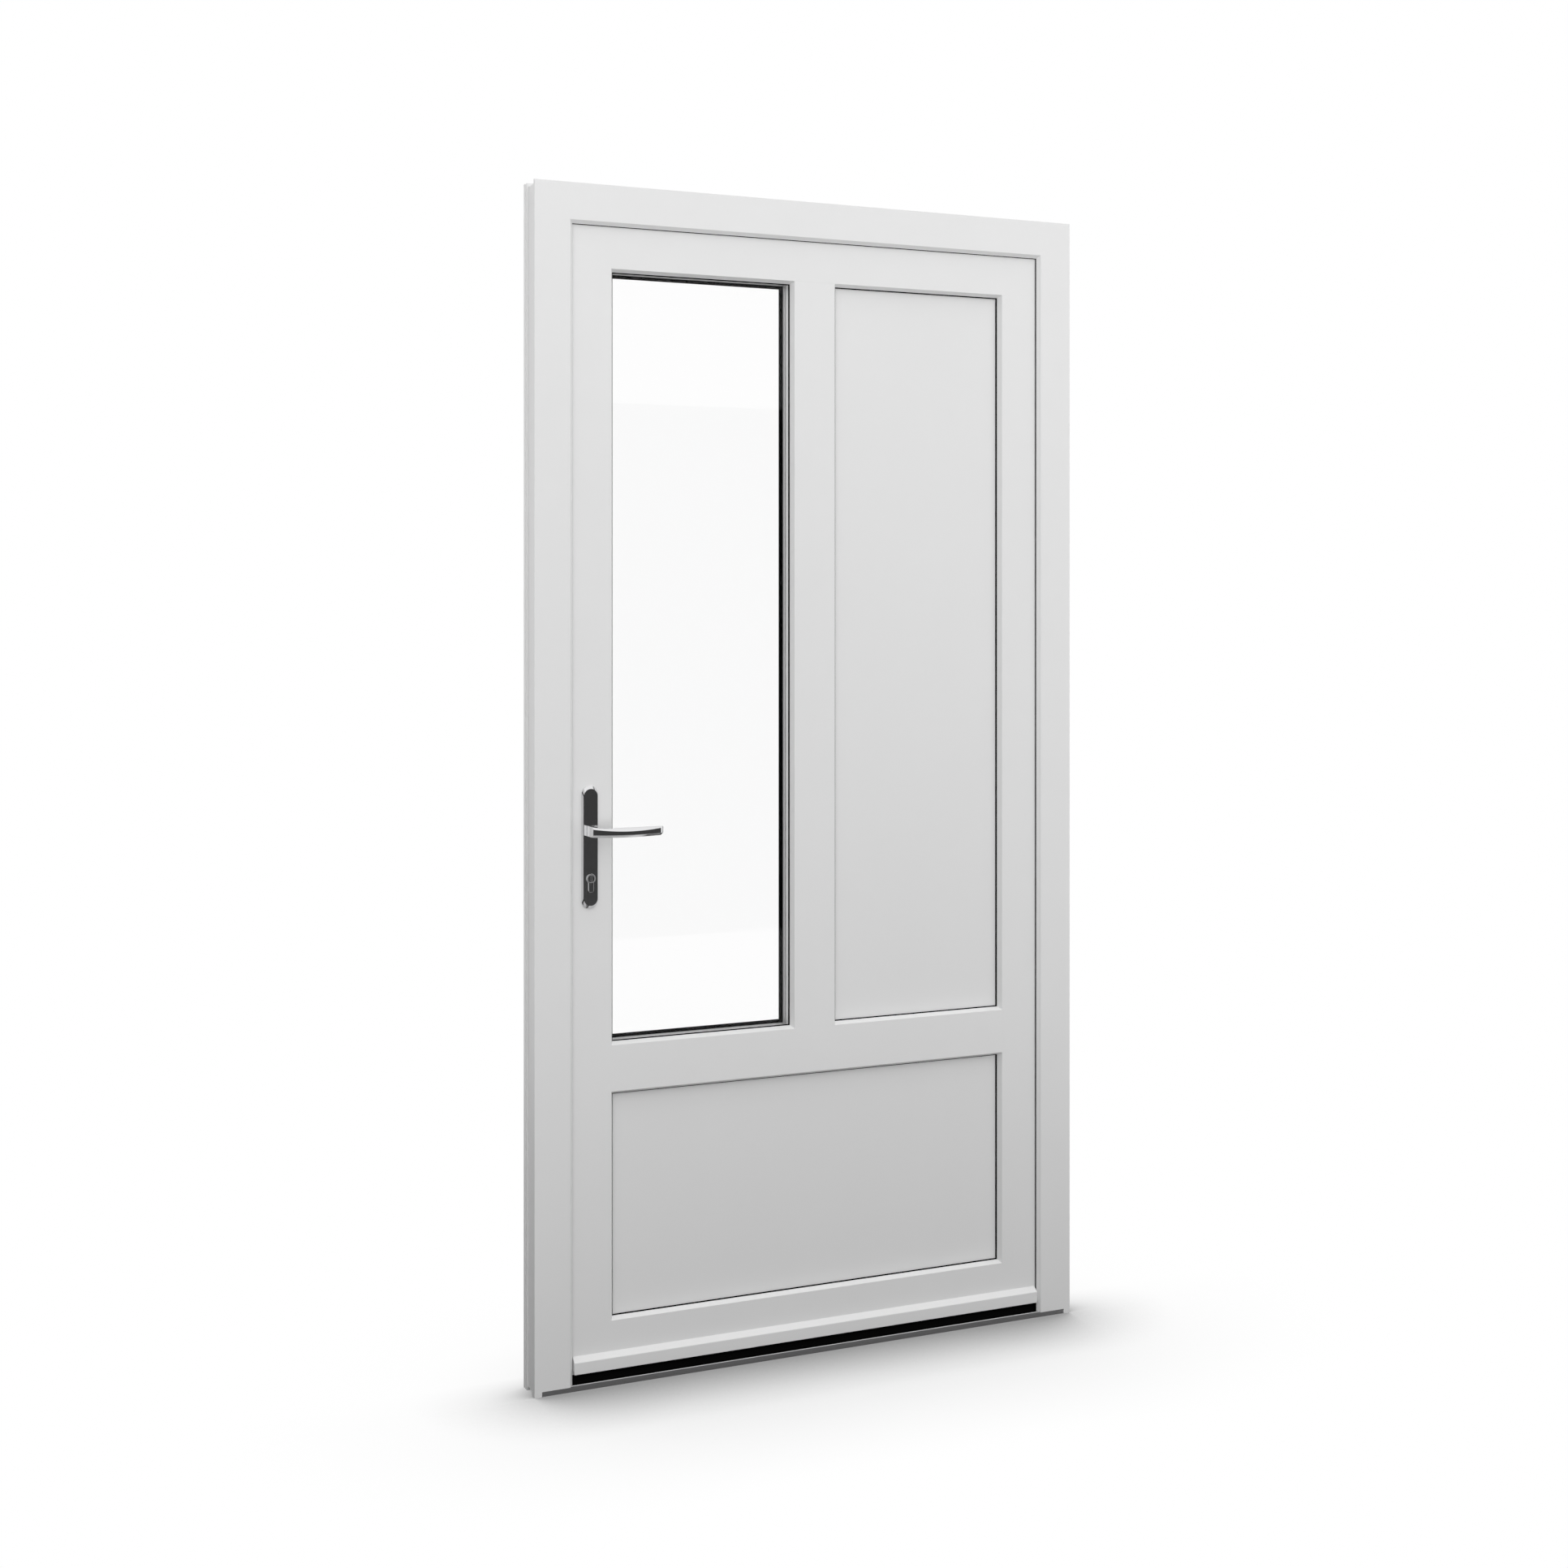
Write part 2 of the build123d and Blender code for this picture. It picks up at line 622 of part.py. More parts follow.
def lever_elevation(length):
    """Outline of the lever seen from outside: (along the grip, up from the spindle)."""
    half = NECK_WIDTH / 2
    top = (-half, LEVER_NECK_RISE)
    level = (LEVER_LEVEL_START, LEVER_GRIP_RISE)
    bottom = (-half, -LEVER_NECK_DROP)
    sag = (length / 2 - half, -LEVER_GRIP_DROP)
    tip = (length, -LEVER_TIP_DROP)
    return [
        Line(bottom, top),
        TangentArc(level, top, tangent=(-1, 0)),
        Line(level, (length, LEVER_GRIP_RISE)),
        Line((length, LEVER_GRIP_RISE), tip),
        ThreePointArc(tip, sag, bottom),
    ]


def lever_top_slope(length):
    """Wedge above the sloped top of the grip, drawn long enough to pass both ends."""
    end = LOCK_X + length + NECK_WIDTH
    plane = Plane(origin=(end, LEAF_FACE_Y, HANDLE_HEIGHT), x_dir=(0, -1, 0), z_dir=(-1, 0, 0))
    low = (LEVER_TOP_SLOPE_START + 2 * LEVER_TOP_SLOPE_RUN, LEVER_GRIP_RISE - 2 * LEVER_TOP_SLOPE_FALL)
    high = (LEVER_TOP_SLOPE_START - LEVER_TOP_SLOPE_RUN, LEVER_GRIP_RISE + LEVER_TOP_SLOPE_FALL)
    return extrude(plane * section([low, high, (low[0], high[1])]), amount=length + 2 * NECK_WIDTH)


def lever(length):
    """Outside lever: a neck that turns into a bowed grip with sloped edges, on a round journal."""
    above = Plane(origin=(LOCK_X, LEAF_FACE_Y, HANDLE_HEIGHT), x_dir=(1, 0, 0), z_dir=(0, 0, -1))
    start = outward(LOCK_X, LEAF_FACE_Y, HANDLE_HEIGHT)
    grip = extrude(above * make_face(lever_plan(length)), amount=NECK_WIDTH, both=True)
    grip &= extrude(start * make_face(lever_elevation(length)), amount=2 * LEVER_REACH)
    under_front = grip.faces().sort_by(Axis.Z)[0].edges().sort_by(Axis.Y)[0]
    grip = chamfer(under_front, length=LEVER_UNDER_SLOPE)
    grip -= lever_top_slope(length)
    journal = extrude(start * Circle(JOURNAL_RADIUS), amount=PLATE_THICKNESS + NECK_GAP)
    side = SPINDLE + 2 * SPINDLE_CLEARANCE
    socket = extrude(start * Rectangle(side, side), amount=SPINDLE_SOCKET)
    return grip + journal - socket


def spindle():
    """Square bar that joins both levers through the lock."""
    end = LEAF_FACE_Y - SPINDLE_SOCKET
    length = 2 * (SPINDLE_SOCKET - SPINDLE_CLEARANCE) + LEAF_THICKNESS
    start = outward(LOCK_X, end + SPINDLE_CLEARANCE + length, HANDLE_HEIGHT)
    return extrude(start * Rectangle(SPINDLE, SPINDLE), amount=length)


def keyway(y, amount):
    """Slot for the key, cut from the face at y."""
    slot = outward(LOCK_X, y, LOCK_HEIGHT) * Rectangle(KEYWAY_WIDTH, KEYWAY_HEIGHT)
    return extrude(slot, amount=amount)


def lock_cylinder():
    """Profile cylinder through the leaf, bored for the outside plug."""
    outer = PLATE_FACE_Y - CYLINDER_PROUD
    length = LEAF_THICKNESS + 2 * (PLATE_THICKNESS + CYLINDER_PROUD)
    body = extrude(outward(LOCK_X, outer + length, LOCK_HEIGHT) * euro_outline(0), amount=length)
    bore_end = outer + PLUG_LENGTH + CYLINDER_CLEARANCE
    bore = outward(LOCK_X, bore_end, LOCK_HEIGHT) * Circle(PLUG_RADIUS + RUNNING_CLEARANCE)
    inner_face = outer + length
    return body - extrude(bore, amount=PLUG_LENGTH + CYLINDER_CLEARANCE) - keyway(inner_face, KEYWAY_DEPTH)


def plug_outside():
    """Plug that the key turns, with its keyway."""
    outer = PLATE_FACE_Y - CYLINDER_PROUD
    plug = extrude(outward(LOCK_X, outer + PLUG_LENGTH, LOCK_HEIGHT) * Circle(PLUG_RADIUS), amount=PLUG_LENGTH)
    return plug - keyway(outer + KEYWAY_DEPTH, KEYWAY_DEPTH)


def lock_faceplate():
    """Steel strip in the lock stile's groove, with windows for the bolts."""
    x = (LEFT + LEAF_EDGE, LEFT + LEAF_EDGE + HARDWARE_GROOVE_DEPTH)
    depth = (GROOVE_MIDDLE - HARDWARE_GROOVE / 2, GROOVE_MIDDLE + HARDWARE_GROOVE / 2)
    strip = block(x, depth, (LEAF_BOTTOM + FACEPLATE_END_GAP, FRAME_HEIGHT - LEAF_EDGE - FACEPLATE_END_GAP))
    for heights in bolt_heights():
        strip -= bolt_space(heights, BOLT_CLEARANCE, (LEAF_EDGE, LEAF_EDGE + HARDWARE_GROOVE_DEPTH))
    return strip


def lock_bolts():
    """Latch and deadbolt, drawn in flush with the faceplate."""
    latch, bolt = [bolt_space(heights, 0, (LEAF_EDGE, LEAF_EDGE + BOLT_BODY)) for heights in bolt_heights()]
    return latch + bolt


def strike_plate():
    """Keep on the jamb's rebate, with windows that take the bolts."""
    x = (LEFT + REBATE_ACROSS, LEFT + REBATE_ACROSS + KEEP_THICKNESS)
    depth = (GROOVE_MIDDLE - KEEP_WIDTH / 2, GROOVE_MIDDLE + KEEP_WIDTH / 2)
    middle = (HANDLE_HEIGHT + LOCK_HEIGHT) / 2
    plate = block(x, depth, (middle - KEEP_LENGTH / 2, middle + KEEP_LENGTH / 2))
    for heights in bolt_heights():
        window = (REBATE_ACROSS, REBATE_ACROSS + KEEP_THICKNESS)
        plate -= bolt_space(heights, KEEP_WINDOW_MARGIN, window)
    return plate


def on_hinge_axis(radius, bottom, top):
    """Upright cylinder on the hinge axis."""
    x = -LEFT - HINGE_ACROSS
    column = Cylinder(radius, top - bottom, align=(Align.CENTER, Align.CENTER, Align.MIN))
    return Pos(x, LEAF_BACK_Y + HINGE_STAND_OFF, bottom) * column


def hinge_frame_part(height):
    """Frame half of one hinge: plate, webs, end knuckles and the pin."""
    axis_depth = LEAF_BACK + HINGE_STAND_OFF
    outer, inner = HINGE_FRAME_PLATE
    half = HINGE_LENGTH / 2
    plate_depth = (FRAME_DEPTH, FRAME_DEPTH + HINGE_PLATE)
    part = block((-LEFT - inner, -LEFT - outer), plate_depth, (height - half, height + half))
    part += on_hinge_axis(HINGE_PIN_RADIUS, height - half, height + half)
    centre = -LEFT - HINGE_ACROSS
    gap = HINGE_KNUCKLE / 2 + HINGE_KNUCKLE_GAP
    for bottom, top in ((height - half, height - gap), (height + gap, height + half)):
        web = block((centre - HINGE_WEB / 2, centre + HINGE_WEB / 2), (FRAME_DEPTH, axis_depth), (bottom, top))
        part += web + on_hinge_axis(HINGE_RADIUS, bottom, top)
    return part


def hinge_leaf_part(height):
    """Leaf half of one hinge: flag plate, arm and the middle knuckle, bored for the pin."""
    half = HINGE_LENGTH / 2
    low = height - HINGE_KNUCKLE / 2
    high = height + HINGE_KNUCKLE / 2
    edge, far = HINGE_LEAF_PLATE
    depth = (LEAF_BACK, LEAF_BACK + HINGE_PLATE)
    part = block((-LEFT - far, -LEFT - edge), depth, (height - half, height + half))
    part += block((-LEFT - edge, -LEFT - HINGE_ACROSS), depth, (low, high))
    part += on_hinge_axis(HINGE_RADIUS, low, high)
    return part - on_hinge_axis(HINGE_PIN_RADIUS + RUNNING_CLEARANCE, low, high)


def group(shapes):
    """Pieces of one node that don't touch."""
    return Compound(children=[solid for shape in shapes for solid in shape.solids()])


def build():
    """Every node of the door, by name."""
    nodes = {}
    jamb = frame_jamb()
    nodes["frame_jamb_left"] = jamb
    nodes["frame_jamb_right"] = to_right(jamb)
    nodes["frame_head"] = frame_head()
    foot = jamb_foot()
    nodes["jamb_foot_left"] = foot
    nodes["jamb_foot_right"] = to_right(foot)
    nodes["threshold_lip"] = threshold_lip()
    nodes["threshold_core"] = threshold_core()
    nodes["threshold_inner_rail"] = threshold_inner_rail()
    nodes["frame_gasket"] = frame_gasket()
    nodes["strike_plate"] = strike_plate()

    left = stile_left()
    right = to_right(plain_stile())
    top = rail_top()
    nodes["stile_left"] = left
    nodes["stile_right"] = right
    nodes["rail_top"] = top
    nodes["rail_bottom"] = rail_bottom()
    crossbar = transom([left, right])
    nodes["transom"] = crossbar
    nodes["mullion"] = mullion(crossbar, top)
    nodes["leaf_seal"] = leaf_seal()
    nodes["bottom_seal"] = bottom_seal()
    nodes["weather_bar"] = weather_bar()

    spaces = openings()
    light = spaces.pop("light")
    for index, name in enumerate(("glass_outer", "glass_middle", "glass_inner")):
        nodes[name] = pane(light, index)
    for index, name in enumerate(("spacer_outer", "spacer_inner")):
        nodes[name] = spacer(light, index)
    nodes["glass_gasket_outer"] = gasket_outer(light)
    nodes["glass_gasket_inner"] = gasket_inner(light)
    nodes["bead_glass"] = bead(light)
    for name, opening in spaces.items():
        nodes[name] = sheet(opening, UNIT_EDGE, (UNIT_FRONT, UNIT_BACK))
        nodes[f"{name}_gaskets"] = group([gasket_outer(opening), gasket_inner(opening)])
        nodes[f"{name}_bead"] = bead(opening)

    plate = handle_plate_outside()
    nodes["handle_plate_outside"] = plate
    nodes["handle_plate_inside"] = mirror(plate, about=LEAF_MIDDLE)
    nodes["lever_outside"] = lever(LEVER_LENGTH_OUTSIDE)
    nodes["lever_inside"] = mirror(lever(LEVER_LENGTH_INSIDE), about=LEAF_MIDDLE)
    nodes["spindle"] = spindle()
    nodes["lock_cylinder"] = lock_cylinder()
    nodes["plug_outside"] = plug_outside()
    nodes["lock_faceplate"] = lock_faceplate()
    nodes["lock_bolts"] = lock_bolts()
    nodes["hinge_frame_parts"] = group([hinge_frame_part(height) for height in HINGE_HEIGHTS])
    nodes["hinge_leaf_parts"] = group([hinge_leaf_part(height) for height in HINGE_HEIGHTS])
    return nodes


os.makedirs("parts", exist_ok=True)
for node, shape in build().items():
    export_step(shape, f"parts/{node}.step")
    print(node, len(shape.solids()), round(shape.volume))
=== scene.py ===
# %% [markdown]
# # A white plastic front door, dressed for its picture
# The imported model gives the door's solids, each already in its place. This lesson gives each one the finish
# of the real thing, rounds the edges of its profiles, adds the screws, and sets up a plain studio and the
# camera.

# %% Frame and size of the solids
import json
import math

import bpy
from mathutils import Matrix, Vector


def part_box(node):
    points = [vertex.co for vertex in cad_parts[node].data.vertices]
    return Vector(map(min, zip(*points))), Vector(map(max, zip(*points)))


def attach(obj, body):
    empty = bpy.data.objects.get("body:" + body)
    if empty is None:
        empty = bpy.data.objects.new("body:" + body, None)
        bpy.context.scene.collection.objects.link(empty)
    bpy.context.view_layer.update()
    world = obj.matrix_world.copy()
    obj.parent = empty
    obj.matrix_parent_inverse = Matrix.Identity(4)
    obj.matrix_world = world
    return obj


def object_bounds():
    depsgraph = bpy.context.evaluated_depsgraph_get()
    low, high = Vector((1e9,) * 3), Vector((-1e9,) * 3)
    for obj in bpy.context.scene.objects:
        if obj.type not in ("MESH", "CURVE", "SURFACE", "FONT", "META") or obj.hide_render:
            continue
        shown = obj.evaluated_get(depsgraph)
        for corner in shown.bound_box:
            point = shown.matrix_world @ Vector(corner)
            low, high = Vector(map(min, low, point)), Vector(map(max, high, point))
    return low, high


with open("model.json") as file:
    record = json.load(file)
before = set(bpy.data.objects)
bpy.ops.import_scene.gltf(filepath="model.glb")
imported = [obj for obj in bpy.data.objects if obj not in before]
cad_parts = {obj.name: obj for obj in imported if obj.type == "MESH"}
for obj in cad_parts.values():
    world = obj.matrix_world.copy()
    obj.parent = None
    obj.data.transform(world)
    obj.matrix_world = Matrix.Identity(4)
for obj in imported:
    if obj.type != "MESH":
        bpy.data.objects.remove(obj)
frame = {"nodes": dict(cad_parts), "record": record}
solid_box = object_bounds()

MM = 0.001
nodes = frame["nodes"]
low_corner, high_corner = ([round(v, 3) for v in corner] for corner in solid_box)
print(len(nodes), "solids, from", low_corner, "to", high_corner)

# %% [markdown]
# ## Camera
# The picture was taken from the left of the door, a little below eye height, with the camera level. A level
# camera keeps the uprights parallel, so the picture is framed by sliding the lens down and not by tilting it.

# %% Camera
LENS_MM, SENSOR_MM = 49.748, 36.0
LENS_SLIDE = -0.11765
CAMERA_PLACE = (-1.7415, -3.6666, 1.4017)
CAMERA_LEVEL = math.radians(90.0)
TURN_FROM_SQUARE = math.radians(24.712)
camera_data = bpy.data.cameras.new("view_camera")
camera_data.lens = LENS_MM
camera_data.sensor_width = SENSOR_MM
camera_data.shift_y = LENS_SLIDE
camera = bpy.data.objects.new("view_camera", camera_data)
camera.location = CAMERA_PLACE
camera.rotation_euler = (CAMERA_LEVEL, 0.0, -TURN_FROM_SQUARE)
bpy.context.scene.collection.objects.link(camera)
bpy.context.scene.camera = camera
print("camera", [round(v, 3) for v in camera.location], LENS_MM, "mm")

# %% [markdown]
# ## Helpers for node trees
# Colours are written as they look on screen, in sRGB hex, and turned to the linear values that the shaders
# count in. One function adds any node, with its options and with values or links for its inputs. The short
# ones after it add the few nodes that nearly every finish needs, and each gives back an output to link on.


# %% Colour and node helpers
def linear(colour):
    """Linear RGBA of an sRGB hex colour."""
    parts = [int(colour[i : i + 2], 16) / 255 for i in (1, 3, 5)]
    return [c / 12.92 if c <= 0.04045 else ((c + 0.055) / 1.055) ** 2.4 for c in parts] + [1.0]


def add(tree, kind, inputs=None, **options):
    """Adds a node with its options. An input is given a value or another node's output."""
    node = tree.nodes.new(kind)
    for name, value in options.items():
        setattr(node, name, value)
    for name, value in (inputs or {}).items():
        if isinstance(value, bpy.types.NodeSocket):
            tree.links.new(value, node.inputs[name])
        else:
            node.inputs[name].default_value = value
    return node


def maths(tree, operation, *values):
    """One sum of plain numbers."""
    return add(tree, "ShaderNodeMath", dict(enumerate(values)), operation=operation).outputs[0]


def vector_maths(tree, operation, result, *values):
    """One sum of vectors, whose result is a Vector or a Value."""
    return add(tree, "ShaderNodeVectorMath", dict(enumerate(values)), operation=operation).outputs[result]


def value_between(tree, factor, low, high):
    """Number that runs from low to high as the factor runs from 0 to 1."""
    return add(tree, "ShaderNodeMapRange", {"Value": factor, "To Min": low, "To Max": high}).outputs["Result"]


# A colour mix has its two colours at inputs 6 and 7 and its result at output 2, and a number mix has its two
# numbers at inputs 2 and 3. Their names, A and B, are shared by all kinds of mix.
COLOUR_A, COLOUR_B, COLOUR_RESULT = 6, 7, 2
NUMBER_A, NUMBER_B = 2, 3


def colour_between(tree, factor, first, second):
    """Colour that runs from the first to the second as the factor runs from 0 to 1."""
    ends = {"Factor": factor, COLOUR_A: linear(first), COLOUR_B: linear(second)}
    return add(tree, "ShaderNodeMix", ends, data_type="RGBA").outputs[COLOUR_RESULT]


def shader_between(tree, factor, first, second):
    """Shader that is the first at a factor of 0 and the second at 1."""
    return add(tree, "ShaderNodeMixShader", {0: factor, 1: first, 2: second}).outputs[0]


print("white of the profiles", [round(v, 3) for v in linear("#EDEDED")[:3]])

# %% [markdown]
# ## Helpers for finishes
# A finish is mostly a noise at the size of the real grain. The noise sways the colour, the roughness and the
# relief, so that light breaks on it as it does on the real thing. Squeezed along one axis, it becomes lines.


# %% Finish helpers
def new_material(name):
    """An empty material and its tree."""
    made = bpy.data.materials.new(name)
    made.use_nodes = True
    made.node_tree.nodes.clear()
    return made, made.node_tree


def object_place(tree):
    """Coordinates of the solid, in metres."""
    return add(tree, "ShaderNodeTexCoord").outputs["Object"]


def drawn_out(tree, along, squeeze):
    """Coordinates in which noise becomes lines along one axis."""
    scale = [1.0, 1.0, 1.0]
    scale[along] = squeeze
    return add(tree, "ShaderNodeMapping", {"Vector": object_place(tree), "Scale": scale}).outputs["Vector"]


def noise(tree, place, patch_mm, detail):
    """Noise with patches as large as patch_mm."""
    inputs = {"Vector": place, "Scale": 1000.0 / patch_mm, "Detail": detail}
    return add(tree, "ShaderNodeTexNoise", inputs).outputs["Fac"]


def relief(tree, height, strength, depth_mm):
    """Normal of a surface with a fine relief."""
    inputs = {"Height": height, "Strength": strength, "Distance": depth_mm * MM}
    return add(tree, "ShaderNodeBump", inputs).outputs["Normal"]


def cover(tree, shader):
    """Makes the shader the material's surface."""
    add(tree, "ShaderNodeOutputMaterial", {"Surface": shader})


def coat(tree, inputs):
    """Ends a material with one principled shader."""
    cover(tree, add(tree, "ShaderNodeBsdfPrincipled", inputs).outputs["BSDF"])


X_AXIS, Z_AXIS = 0, 2
print("lines run along axis", X_AXIS, "on level bars and along axis", Z_AXIS, "on uprights")

# %% [markdown]
# ## White window plastic
# Frame, leaf and beads are unplasticised PVC, extruded through a polished die. The skin is satin: it has
# faint draw lines along the length and a very slight waviness across it. Uprights and level bars come from
# the same extrusion turned by a quarter, so each gets its own copy with the lines along Z or along X.

# %% White window plastic
PVC_IOR = 1.53
DRAW_LINE_SQUEEZE = 0.004
# Real draw lines are about 0.3 mm apart; they are drawn at 3 mm so that they show.
DRAW_LINE_MM = 3.0
WAVE_MM = 90.0


def profile_plastic(name, along):
    """Satin white PVC with draw lines along one axis."""
    made, tree = new_material(name)
    lines = noise(tree, drawn_out(tree, along, DRAW_LINE_SQUEEZE), DRAW_LINE_MM, 2.0)
    waves = noise(tree, object_place(tree), WAVE_MM, 1.0)
    look = {
        "Base Color": colour_between(tree, waves, "#EEEEEE", "#ECECEC"),
        "Roughness": value_between(tree, lines, 0.30, 0.40),
        "Normal": relief(tree, lines, 0.05, 0.02),
        "IOR": PVC_IOR,
    }
    coat(tree, look)
    return made


upright_plastic = profile_plastic("white_pvc_upright", Z_AXIS)
level_plastic = profile_plastic("white_pvc_level", X_AXIS)
print(upright_plastic.name, level_plastic.name)

# %% [markdown]
# ## Panel skin
# The panels are insulated boards with a flat, pressed PVC skin. It is the same white as the profiles, a touch
# duller, with a fine even grain from the press and no direction.

# %% Panel skin
PRESS_GRAIN_MM = 1.2
PANEL_SWEEP_MM = 160.0
panel_skin, tree = new_material("pressed_pvc_skin")
place = object_place(tree)
grain = noise(tree, place, PRESS_GRAIN_MM, 3.0)
sweep = noise(tree, place, PANEL_SWEEP_MM, 2.0)
look = {
    "Base Color": colour_between(tree, sweep, "#EDEDED", "#EBEBEB"),
    "Roughness": value_between(tree, grain, 0.38, 0.46),
    "Normal": relief(tree, grain, 0.08, 0.02),
    "IOR": PVC_IOR,
}
coat(tree, look)
print(panel_skin.name)

# %% [markdown]
# ## Glass
# The light is a sealed unit of three clear, coated float panes. Seen nearly square on it takes only a few
# percent from the white behind it, and it shines at a glancing angle. Each face is a clear sheet with a gloss
# that grows with the angle, so light still reaches the beads and the spacers behind it.

# %% Glass
# Bare glass is at 1.52. A lower value mirrors less, as the glass in the picture does.
DIMMED_GLASS_IOR = 1.2
ROLLER_WAVE_MM = 250.0
clear_glass, tree = new_material("clear_float_glass")
# Float glass is flat to a few hundredths of a millimetre, which only bends what it mirrors.
roller_wave = relief(tree, noise(tree, object_place(tree), ROLLER_WAVE_MM, 2.0), 0.1, 0.05)
angle = add(tree, "ShaderNodeFresnel", {"IOR": DIMMED_GLASS_IOR})
clear = add(tree, "ShaderNodeBsdfTransparent", {"Color": linear("#FFFFFF")})
shine = add(tree, "ShaderNodeBsdfGlossy", {"Roughness": 0.0, "Normal": roller_wave})
cover(tree, shader_between(tree, angle.outputs["Fac"], clear.outputs[0], shine.outputs[0]))
print(clear_glass.name)

# %% [markdown]
# ## Metals
# Four metals are in view. The handles are chrome, polished to a mirror, the spacers are bright rolled
# aluminium, the threshold is anodised aluminium with its draw lines along X, and the lock's strips are satin
# steel, ground along Z. What a metal shows is mostly what it mirrors, so each needs only its own colour, its
# roughness and the direction of its lines.

# %% Drawn and ground metals
METAL_LINE_SQUEEZE = 0.01
METAL_RELIEF = 0.3


def lined_metal(name, colour, rough_low, rough_high, along, spacing_mm, depth_mm):
    """Metal with fine lines along one axis, as drawing, rolling or grinding leaves them."""
    made, tree = new_material(name)
    lines = noise(tree, drawn_out(tree, along, METAL_LINE_SQUEEZE), spacing_mm, 3.0)
    look = {
        "Base Color": linear(colour),
        "Metallic": 1.0,
        "Roughness": value_between(tree, lines, rough_low, rough_high),
        "Normal": relief(tree, lines, METAL_RELIEF, depth_mm),
    }
    coat(tree, look)
    return made


handle_chrome = lined_metal("polished_chrome", "#E4E4E5", 0.04, 0.09, Z_AXIS, 1.5, 0.002)
spacer_metal = lined_metal("rolled_aluminium", "#F8F8F8", 0.60, 0.75, Z_AXIS, 1.0, 0.01)
sill_metal = lined_metal("anodised_aluminium", "#C4C4C5", 0.30, 0.42, X_AXIS, 1.0, 0.02)
lock_steel = lined_metal("ground_steel", "#A9AAAC", 0.28, 0.42, Z_AXIS, 0.8, 0.01)
print(handle_chrome.name, spacer_metal.name, sill_metal.name, lock_steel.name)

# %% [markdown]
# ## Rubber, black plastic and powder coat
# Seals are extruded EPDM rubber, black and dull, with so little shine that their narrow edges read as black
# lines. The threshold's core is glass-filled plastic, black with a dull moulded skin. The hinges are zinc
# castings under a white powder coat, which dries with the slight dimples of an orange's peel.

# %% Grained rubber, plastic and coat
GRAIN_RELIEF = 0.3


def grained(name, dark, pale, roughness, shine, grain_mm, depth_mm):
    """Rubber, moulding or coat with a fine even grain."""
    made, tree = new_material(name)
    grain = noise(tree, object_place(tree), grain_mm, 2.0)
    look = {
        "Base Color": colour_between(tree, grain, dark, pale),
        "Roughness": roughness,
        "Specular IOR Level": shine,
        "Normal": relief(tree, grain, GRAIN_RELIEF, depth_mm),
    }
    coat(tree, look)
    return made


seal_rubber = grained("black_epdm_rubber", "#030303", "#080808", 0.8, 0.06, 0.8, 0.05)
sill_black = grained("moulded_black_plastic", "#020202", "#060606", 0.7, 0.05, 0.8, 0.03)
hinge_coat = grained("white_powder_coat", "#EAEAEA", "#F0F0F0", 0.35, 0.5, 2.0, 0.02)
print(seal_rubber.name, sill_black.name, hinge_coat.name)

# %% [markdown]
# ## Which solid wears what
# The record names a material slot for every solid, so the finish follows from it. Only the white plastic
# needs a second look, at whether the bar stands or lies.

# %% Finishes on the solids
WELDED_LEVEL_BARS = ["frame_head", "rail_top", "rail_bottom", "transom"]
LEVEL_BARS = WELDED_LEVEL_BARS + ["weather_bar"]
finish_of = {
    "white_panel": panel_skin,
    "black_rubber": seal_rubber,
    "clear_glass": clear_glass,
    "spacer_metal": spacer_metal,
    "sill_metal": sill_metal,
    "sill_black": sill_black,
    "handle_metal": handle_chrome,
    "lock_metal": lock_steel,
    "hinge_white": hinge_coat,
}
slot_of = {part["node"]: part["material_slot"] for part in frame["record"]["subparts"]}
for name, solid in nodes.items():
    finish = finish_of.get(slot_of[name], level_plastic if name in LEVEL_BARS else upright_plastic)
    solid.data.materials.clear()
    solid.data.materials.append(finish)
print(len(slot_of), "solids finished with", len(set(slot_of.values())), "slots")

# %% [markdown]
# ## Which edges to round
# No edge of an extrusion or a casting is a knife. Each gets a small radius, which catches a thin line of
# light. Where two bars meet, at a mitre or at a butt joint, the real weld is pared flush, so the edges of a
# joint face stay sharp and no line shows. The node group marks the edges to round: those that turn by more
# than a least angle and have no joint face beside them. A joint face looks along the bar or slantwise to it.


# %% Geometry nodes that mark the edges
def new_tree(name, given):
    """Geometry node group with a geometry socket at each end and the named inputs."""
    tree = bpy.data.node_groups.new(name, "GeometryNodeTree")
    tree.interface.new_socket("Geometry", in_out="INPUT", socket_type="NodeSocketGeometry")
    for label, kind, value in given:
        tree.interface.new_socket(label, in_out="INPUT", socket_type=kind).default_value = value
    tree.interface.new_socket("Geometry", in_out="OUTPUT", socket_type="NodeSocketGeometry")
    return tree, add(tree, "NodeGroupInput").outputs


def put_nodes(piece, tree, values):
    """Adds the node group to a piece and sets its named inputs."""
    modifier = piece.modifiers.new(tree.name, "NODES")
    modifier.node_group = tree
    for socket in tree.interface.items_tree:
        if socket.in_out == "INPUT" and socket.name in values:
            modifier[socket.identifier] = values[socket.name]


LEAST_ANGLE = math.radians(25.0)
# How far a face looks along the bar: 0 for its sides, 0.7 at a mitre and 1 at a butt joint.
JOINT_LEAN = 0.3
